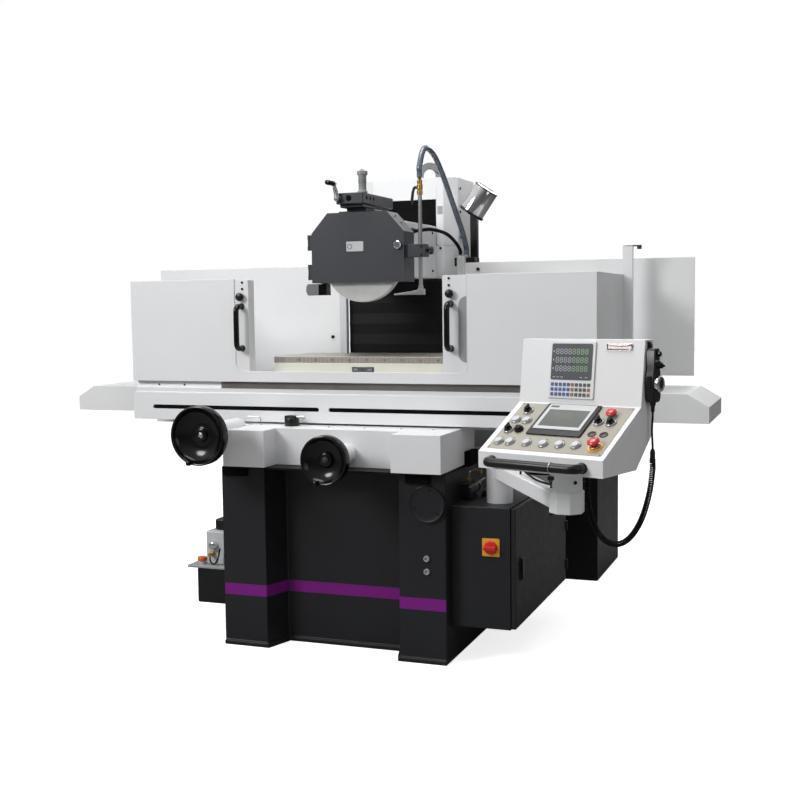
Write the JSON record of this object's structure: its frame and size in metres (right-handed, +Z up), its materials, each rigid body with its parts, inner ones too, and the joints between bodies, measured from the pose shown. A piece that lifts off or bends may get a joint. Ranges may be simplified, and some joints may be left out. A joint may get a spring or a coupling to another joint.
{
  "type": "surface grinder",
  "caption": "Horizontal-spindle surface grinder: cross saddle, long table with magnetic chuck and guard, wheel head on a column, swing-arm console.",
  "frame": {"origin": "on the floor, under the middle of the base body, where the base's foot rests", "axes": "+X along the table's travel, to the right of someone standing at the front; +Y from the front to the column at the back; +Z up"},
  "size_m": [2.91, 2.9783, 2.0975],
  "materials": {
    "white_paint": "semi-gloss powder coat with a fine orange peel",
    "cream_paint": "semi-gloss paint",
    "charcoal_paint": "satin textured paint",
    "dark_grey_paint": "satin paint",
    "light_grey_paint": "semi-gloss paint",
    "black_plastic": "fine moulded grain",
    "grey_plastic": "smooth moulded",
    "red_plastic": "smooth moulded",
    "black_rubber": "matte",
    "hose_plastic": "clear flexible tube",
    "ground_steel": "ground",
    "polished_aluminium": "polished",
    "abrasive": "open vitrified grit"
  },
  "bodies": {
    "root": {"base_frame": "charcoal_paint", "column": "white_paint", "column_hood": "white_paint", "rear_guard": "white_paint", "lower_bellows": "black_rubber", "cabinet_shell": "charcoal_paint", "coolant_tank": "charcoal_paint", "lubrication_unit": "light_grey_paint", "lamp_post": "black_plastic", "coolant_hose": "hose_plastic", "head_cable": "black_rubber"},
    "cabinet_door": {"cabinet_door": "charcoal_paint"},
    "main_switch": {"main_switch_knob": "red_plastic"},
    "lamp": {"lamp_head": "polished_aluminium"},
    "saddle": {"saddle": "white_paint", "way_cover_left": "white_paint", "way_cover_right": "white_paint"},
    "table_handwheel": {"table_handwheel": "black_plastic"},
    "cross_handwheel": {"cross_handwheel": "black_plastic"},
    "table": {"table": "white_paint", "splash_guard": "white_paint", "chuck_body": "cream_paint", "chuck_plate": "ground_steel"},
    "left_door": {"left_guard_door": "white_paint", "left_door_grip": "black_plastic"},
    "right_door": {"right_guard_door": "white_paint", "right_door_grip": "black_plastic"},
    "wheel_head": {"wheel_head": "white_paint", "wheel_guard": "dark_grey_paint", "dresser": "dark_grey_paint", "coolant_pipe": "ground_steel"},
    "spindle": {"spindle": "ground_steel", "grinding_wheel": "abrasive"},
    "guard_cover": {"guard_cover": "dark_grey_paint"},
    "cover_lock": {"cover_lock": "ground_steel"},
    "dresser_crank": {"dresser_crank": "ground_steel"},
    "valve_lever": {"valve_lever": "black_plastic"},
    "clamp_knob": {"clamp_knob": "black_plastic"},
    "console_arm": {"console_arm": "white_paint"},
    "console": {"console_box": "white_paint", "console_handle": "black_plastic", "pendant": "black_plastic", "pendant_lead": "black_rubber", "pendant_coil": "black_rubber"},
    "push_button_1": {"push_button_1": "grey_plastic"},
    "push_button_2": {"push_button_2": "grey_plastic"},
    "push_button_3": {"push_button_3": "grey_plastic"},
    "push_button_4": {"push_button_4": "grey_plastic"},
    "push_button_5": {"push_button_5": "grey_plastic"},
    "push_button_6": {"push_button_6": "grey_plastic"},
    "push_button_7": {"push_button_7": "grey_plastic"},
    "push_button_8": {"push_button_8": "grey_plastic"},
    "selector_1": {"selector_1": "black_plastic"},
    "selector_2": {"selector_2": "black_plastic"},
    "selector_3": {"selector_3": "black_plastic"},
    "selector_4": {"selector_4": "black_plastic"},
    "speed_knob": {"speed_knob": "black_plastic"},
    "feed_button": {"feed_button": "red_plastic"},
    "stop_button": {"stop_button": "red_plastic"},
    "pendant_dial": {"pendant_dial": "ground_steel"}
  },
  "joints": [
    {"name": "saddle_slide", "type": "slide", "parent": "root", "child": "saddle", "axis": [0, 1, 0], "range_m": [-0.34, 0.09]},
    {"name": "table_slide", "type": "slide", "parent": "saddle", "child": "table", "axis": [1, 0, 0], "range_m": [-0.5, 0.5]},
    {"name": "table_handwheel_turn", "type": "hinge", "parent": "saddle", "child": "table_handwheel", "pos_m": [-0.468, -0.68, 0.912], "axis": [0, 1, 0], "continuous": true},
    {"name": "cross_handwheel_turn", "type": "hinge", "parent": "saddle", "child": "cross_handwheel", "pos_m": [0.054, -0.63, 0.824], "axis": [0, 1, 0], "continuous": true},
    {"name": "left_door_slide", "type": "slide", "parent": "table", "child": "left_door", "axis": [1, 0, 0], "range_m": [0, 0.43]},
    {"name": "right_door_slide", "type": "slide", "parent": "table", "child": "right_door", "axis": [-1, 0, 0], "range_m": [0, 0.42]},
    {"name": "head_lift", "type": "slide", "parent": "root", "child": "wheel_head", "axis": [0, 0, 1], "range_m": [-0.2, 0.1], "deforming": ["lower_bellows", "coolant_hose", "head_cable"]},
    {"name": "spindle_turn", "type": "hinge", "parent": "wheel_head", "child": "spindle", "pos_m": [0, -0.102, 1.6155], "axis": [0, 1, 0], "continuous": true},
    {"name": "guard_cover_swing", "type": "hinge", "parent": "wheel_head", "child": "guard_cover", "pos_m": [-0.236, -0.12115, 1.67], "axis": [0, 0, -1], "range_deg": [0, 105]},
    {"name": "cover_lock_turn", "type": "hinge", "parent": "guard_cover", "child": "cover_lock", "pos_m": [0.176, -0.128, 1.676], "axis": [0, 1, 0], "range_deg": [0, 90]},
    {"name": "dresser_crank_turn", "type": "hinge", "parent": "wheel_head", "child": "dresser_crank", "pos_m": [-0.074, -0.1723, 1.875], "axis": [0, 1, 0], "continuous": true},
    {"name": "valve_lever_turn", "type": "hinge", "parent": "wheel_head", "child": "valve_lever", "pos_m": [0.262, -0.088, 1.915], "axis": [1, 0, 0], "range_deg": [0, 90]},
    {"name": "clamp_knob_turn", "type": "hinge", "parent": "wheel_head", "child": "clamp_knob", "pos_m": [0.2923, -0.088, 1.651], "axis": [1, 0, 0], "continuous": true},
    {"name": "lamp_tilt", "type": "hinge", "parent": "root", "child": "lamp", "pos_m": [0.322, 0.5047, 1.852], "axis": [0, 1, 0], "range_deg": [-20, 15]},
    {"name": "cabinet_door_swing", "type": "hinge", "parent": "root", "child": "cabinet_door", "pos_m": [0.7583, 0.473, 0.389], "axis": [0, 0, 1], "range_deg": [0, 85]},
    {"name": "main_switch_turn", "type": "hinge", "parent": "root", "child": "main_switch", "pos_m": [0.66, -0.424, 0.473], "axis": [0, 1, 0], "range_deg": [0, 90]},
    {"name": "arm_swing", "type": "hinge", "parent": "root", "child": "console_arm", "pos_m": [0.659, -0.288, 0.73], "axis": [0, 0, 1], "range_deg": [-20, 25]},
    {"name": "console_swivel", "type": "hinge", "parent": "console_arm", "child": "console", "pos_m": [1.084, -0.986, 0.887], "axis": [0, 0, 1], "range_deg": [-45, 20]},
    {"name": "push_button_1_press", "type": "slide", "parent": "console", "child": "push_button_1", "axis": [0.1542, 0.4747, -0.8665], "range_m": [0, 0.003], "stiffness_N_per_m": 800, "springref_m": -0.002},
    {"name": "push_button_2_press", "type": "slide", "parent": "console", "child": "push_button_2", "axis": [0.1542, 0.4747, -0.8665], "range_m": [0, 0.003], "stiffness_N_per_m": 800, "springref_m": -0.002},
    {"name": "push_button_3_press", "type": "slide", "parent": "console", "child": "push_button_3", "axis": [0.1542, 0.4747, -0.8665], "range_m": [0, 0.003], "stiffness_N_per_m": 800, "springref_m": -0.002},
    {"name": "push_button_4_press", "type": "slide", "parent": "console", "child": "push_button_4", "axis": [0.1542, 0.4747, -0.8665], "range_m": [0, 0.003], "stiffness_N_per_m": 800, "springref_m": -0.002},
    {"name": "push_button_5_press", "type": "slide", "parent": "console", "child": "push_button_5", "axis": [0.1542, 0.4747, -0.8665], "range_m": [0, 0.003], "stiffness_N_per_m": 800, "springref_m": -0.002},
    {"name": "push_button_6_press", "type": "slide", "parent": "console", "child": "push_button_6", "axis": [0.1542, 0.4747, -0.8665], "range_m": [0, 0.003], "stiffness_N_per_m": 800, "springref_m": -0.002},
    {"name": "push_button_7_press", "type": "slide", "parent": "console", "child": "push_button_7", "axis": [0.1542, 0.4747, -0.8665], "range_m": [0, 0.003], "stiffness_N_per_m": 800, "springref_m": -0.002},
    {"name": "push_button_8_press", "type": "slide", "parent": "console", "child": "push_button_8", "axis": [0.1542, 0.4747, -0.8665], "range_m": [0, 0.003], "stiffness_N_per_m": 800, "springref_m": -0.002},
    {"name": "feed_button_press", "type": "slide", "parent": "console", "child": "feed_button", "axis": [0.1542, 0.4747, -0.8665], "range_m": [0, 0.003], "stiffness_N_per_m": 800, "springref_m": -0.002},
    {"name": "stop_button_press", "type": "slide", "parent": "console", "child": "stop_button", "axis": [0.1542, 0.4747, -0.8665], "range_m": [0, 0.003], "stiffness_N_per_m": 800, "springref_m": -0.002},
    {"name": "selector_1_turn", "type": "hinge", "parent": "console", "child": "selector_1", "pos_m": [0.89763, -1.02565, 1.00265], "axis": [-0.1542, -0.4747, 0.8665], "range_deg": [-45, 45]},
    {"name": "selector_2_turn", "type": "hinge", "parent": "console", "child": "selector_2", "pos_m": [0.94304, -0.93927, 1.05806], "axis": [-0.1542, -0.4747, 0.8665], "range_deg": [-45, 45]},
    {"name": "selector_3_turn", "type": "hinge", "parent": "console", "child": "selector_3", "pos_m": [1.20454, -1.06159, 1.03759], "axis": [-0.1542, -0.4747, 0.8665], "range_deg": [-45, 45]},
    {"name": "selector_4_turn", "type": "hinge", "parent": "console", "child": "selector_4", "pos_m": [1.24639, -1.07519, 1.03759], "axis": [-0.1542, -0.4747, 0.8665], "range_deg": [-45, 45]},
    {"name": "speed_knob_turn", "type": "hinge", "parent": "console", "child": "speed_knob", "pos_m": [0.93579, -1.0344, 1.00465], "axis": [-0.1542, -0.4747, 0.8665], "range_deg": [-135, 135]},
    {"name": "pendant_dial_turn", "type": "hinge", "parent": "console", "child": "pendant_dial", "pos_m": [1.37894, -0.97984, 1.16], "axis": [0.9511, -0.309, 0], "continuous": true}
  ],
  "couplings": [
    {"joint": "table_handwheel_turn", "follows": "table_slide", "rad_per_m": 78.54},
    {"joint": "cross_handwheel_turn", "follows": "saddle_slide", "rad_per_m": 1256.6}
  ]
}
